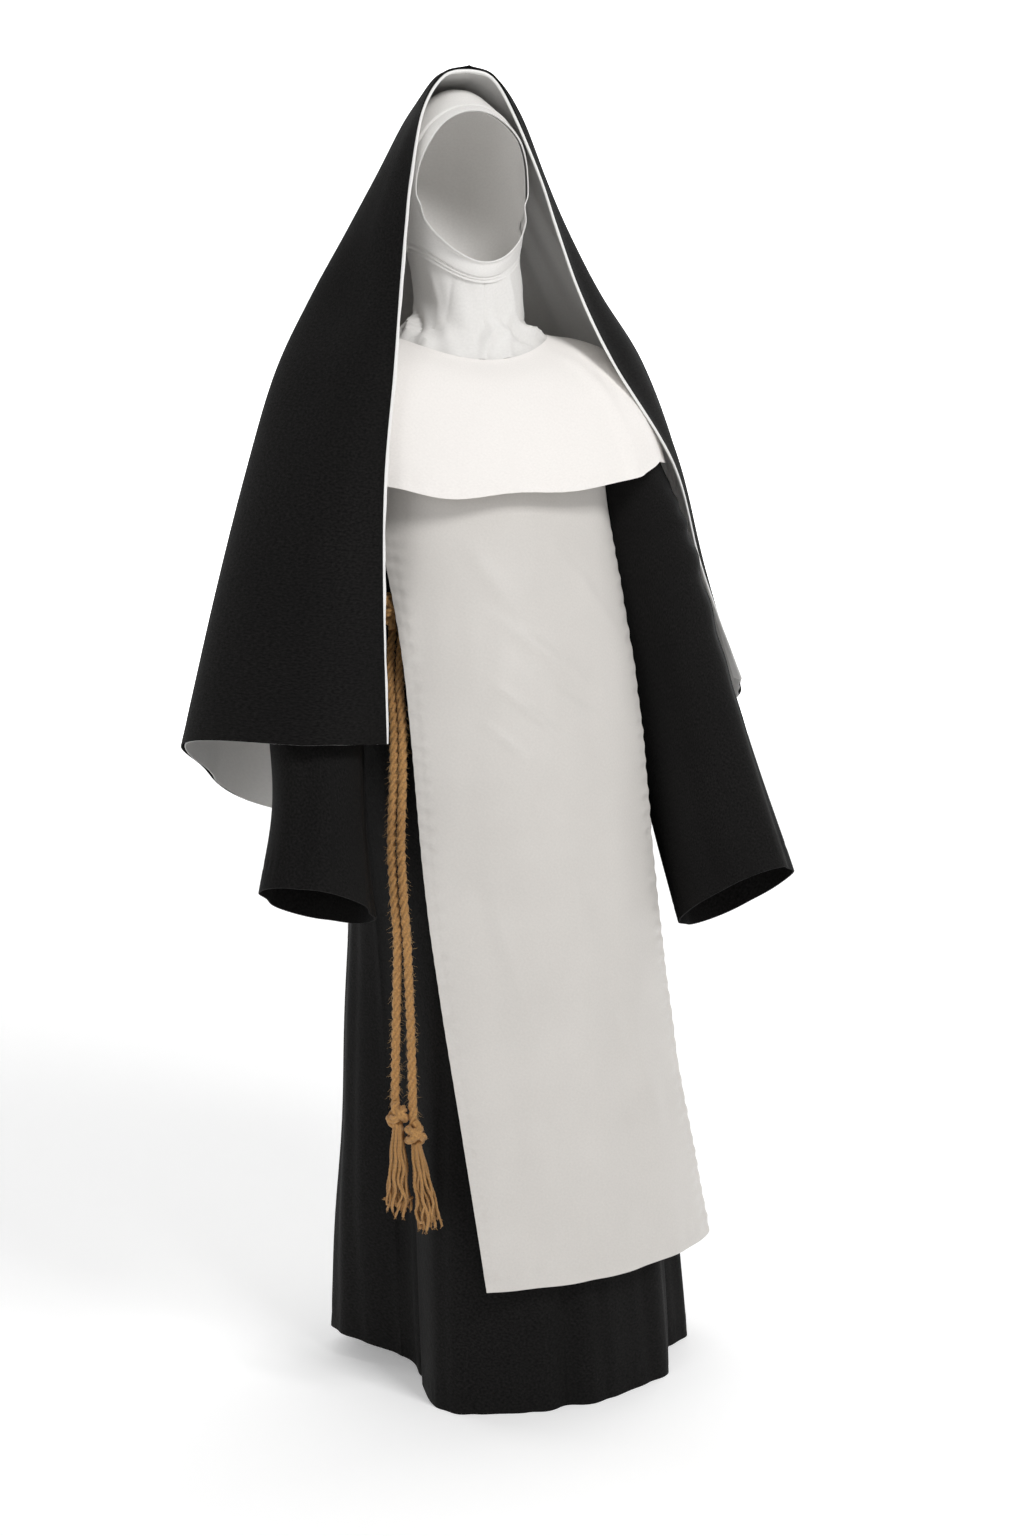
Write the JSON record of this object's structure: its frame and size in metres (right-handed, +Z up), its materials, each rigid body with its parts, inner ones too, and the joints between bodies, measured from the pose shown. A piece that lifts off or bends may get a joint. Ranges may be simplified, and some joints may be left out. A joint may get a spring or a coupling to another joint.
{
  "type": "religious habit costume",
  "caption": "Worn-form religious habit: long black gown with wide sleeves, white hanging panel, round collar, coif, lined veil and knotted rope belt.",
  "frame": {"origin": "midway between the shoulders, at the foot of the neck, where the wearer's shoulders carry the garment", "axes": "+Z up towards the crown of the veil, -Y to the front of the garment, +X to the wearer's left"},
  "size_m": [0.8762, 0.5549, 1.8031],
  "materials": {
    "gown": "matt black polyester twill",
    "panel": "grey-white satin-faced cotton",
    "collar": "warm white twill, pressed",
    "knit": "fine white jersey knit",
    "veil": "black crepe",
    "lining": "white cotton lawn lining",
    "rope": "three-strand hemp rope with loose fibres"
  },
  "bodies": {
    "root": {"habit_front_right": "gown", "habit_front_left": "gown", "habit_back": "gown", "sleeve_left": "gown", "sleeve_right": "gown", "scapular_front": "panel", "scapular_back": "panel", "collar": "collar", "coif_hood": "knit", "coif_chin": "knit", "veil_outer": "veil", "veil_lining": "lining", "belt_loop": "rope", "belt_knot": "rope", "rope_end_a": "rope", "rope_end_b": "rope", "rope_knot_a": "rope", "rope_knot_b": "rope", "tassel_a": "rope", "tassel_b": "rope"}
  },
  "joints": []
}
